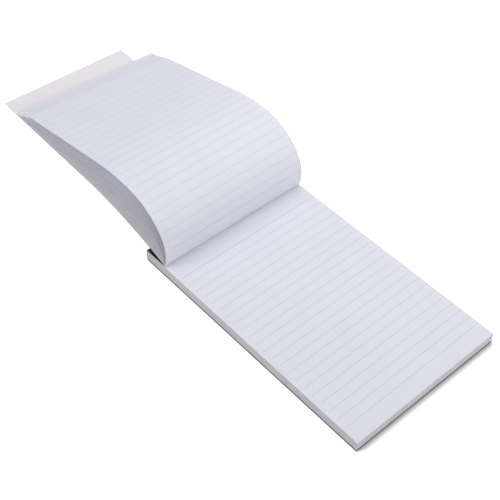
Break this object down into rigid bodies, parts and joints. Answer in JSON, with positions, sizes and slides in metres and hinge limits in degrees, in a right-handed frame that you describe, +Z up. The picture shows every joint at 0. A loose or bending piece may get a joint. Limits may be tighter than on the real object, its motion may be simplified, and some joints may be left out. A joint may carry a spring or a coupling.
{
  "type": "legal pad",
  "caption": "Ruled writing pad bound along its head, with a black card cover; the front flap and the top leaves are folded back over the head in a standing curl",
  "frame": {"origin": "middle of the flat underside of the pad, on the surface it lies on", "axes": "X across the page to the right, Y along the page towards the bound head, Z up out of the page"},
  "size_m": [0.1331, 0.3685, 0.061],
  "materials": {
    "cover_card": "matt black outside, plain white inside",
    "greyboard": "uncoated grey board",
    "ruled_paper": "uncoated, pale lavender, ruled in grey on both sides",
    "staple_wire": "bright wire"
  },
  "bodies": {
    "root": {"cover": "cover_card", "backing_board": "greyboard", "page_block": "ruled_paper", "turned_leaves_upper": "ruled_paper", "turned_leaves_middle": "ruled_paper", "turned_leaves_lower": "ruled_paper", "staple_left": "staple_wire", "staple_right": "staple_wire"}
  },
  "joints": []
}
